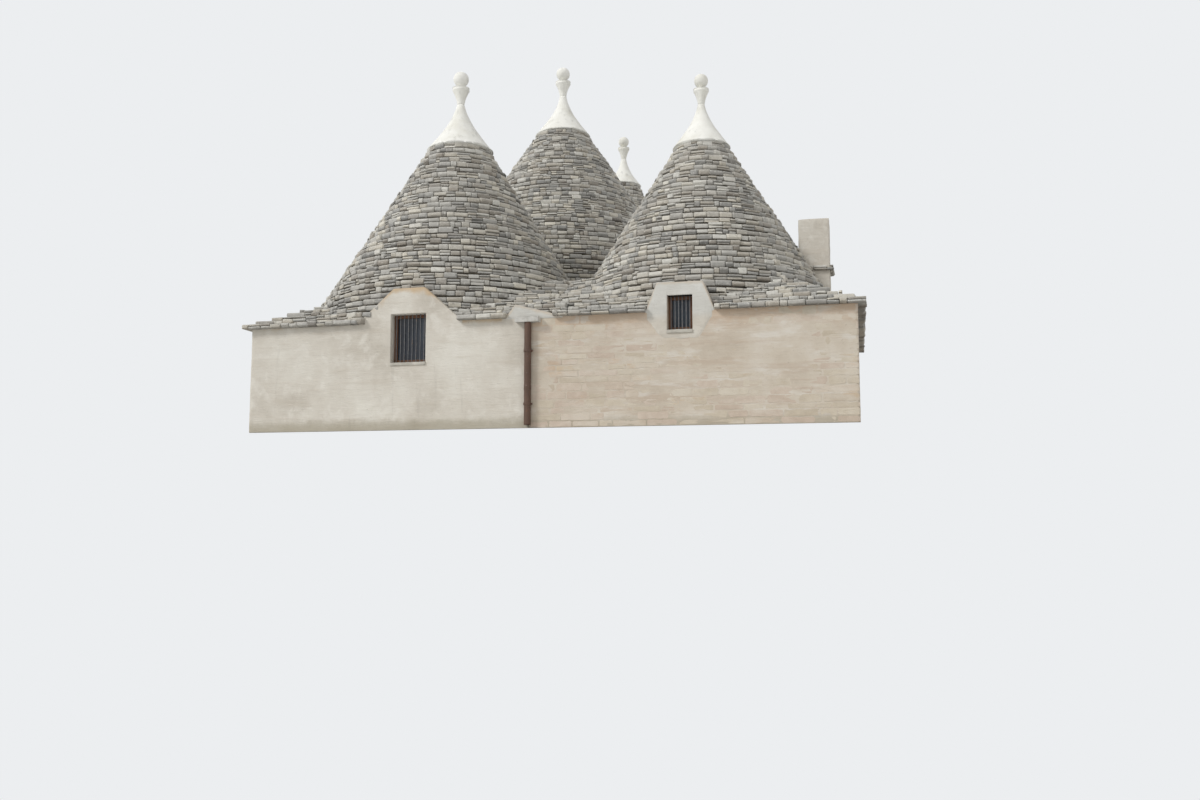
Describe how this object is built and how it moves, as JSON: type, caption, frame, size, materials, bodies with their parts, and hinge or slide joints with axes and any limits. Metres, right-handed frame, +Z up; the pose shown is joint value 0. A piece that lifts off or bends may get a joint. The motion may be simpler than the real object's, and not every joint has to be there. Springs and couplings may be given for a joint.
{
  "type": "trullo house",
  "caption": "Dry-stone trullo house: cones with white plastered caps and pinnacles over whitewashed and bare stone walls, with gabled windows, arched rooms, chimney and rainwater pipe.",
  "frame": {"origin": "middle of the footprint, out to the eaves, at ground level", "axes": "+Z up, front wall with the window facing -Y, house running back along +Y, +X to the right of someone facing the front"},
  "size_m": [9.68, 12.88, 8.4323],
  "materials": {
    "limewashed_wall": "limewash, matt",
    "stone_wall": "weathered blocks, matt",
    "dry_stone": "weathered limestone, matt",
    "lime_cap": "white lime plaster, matt",
    "dressed_stone": "dressed, matt",
    "brown_wood": "dark stain, satin",
    "window_glass": "clear, dark behind",
    "painted_metal": "dark brown paint, satin"
  },
  "bodies": {
    "root": {"front_wall_left": "limewashed_wall", "left_wall_front": "limewashed_wall", "left_wall_back": "limewashed_wall", "middle_wall_left": "limewashed_wall", "rear_wall_left": "limewashed_wall", "rear_wall": "limewashed_wall", "pier_wall": "limewashed_wall", "front_cross_wall": "limewashed_wall", "rear_cross_wall": "limewashed_wall", "window_gable": "limewashed_wall", "small_window_gable": "limewashed_wall", "rear_window_gable": "limewashed_wall", "door_gable": "limewashed_wall", "valley_wedge": "limewashed_wall", "chimney": "limewashed_wall", "front_wall_right": "stone_wall", "right_wall": "stone_wall", "middle_wall_right": "stone_wall", "rear_wall_right": "stone_wall", "front_left_cone": "dry_stone", "front_right_cone": "dry_stone", "middle_cone": "dry_stone", "rear_cone": "dry_stone", "front_eave_fill": "dry_stone", "middle_eave_fill": "dry_stone", "rear_eave_fill": "dry_stone", "front_left_cap": "lime_cap", "front_right_cap": "lime_cap", "middle_cap": "lime_cap", "rear_cap": "lime_cap", "front_left_pinnacle": "lime_cap", "front_right_pinnacle": "lime_cap", "middle_pinnacle": "lime_cap", "rear_pinnacle": "lime_cap", "pier_arch": "dressed_stone", "front_arch": "dressed_stone", "rear_arch": "dressed_stone", "window_lintel": "dressed_stone", "small_window_lintel": "dressed_stone", "rear_window_lintel": "dressed_stone", "door_lintel": "dressed_stone", "window_sills": "dressed_stone", "door_threshold": "dressed_stone", "valley_spout": "dressed_stone", "floor_paving": "dressed_stone", "window_frame": "brown_wood", "small_window_frame": "brown_wood", "rear_window_frame": "brown_wood", "door_frame": "brown_wood", "door_leaf": "brown_wood", "window_glass": "window_glass", "rainwater_pipe": "painted_metal", "pipe_brackets": "painted_metal"}
  },
  "joints": []
}
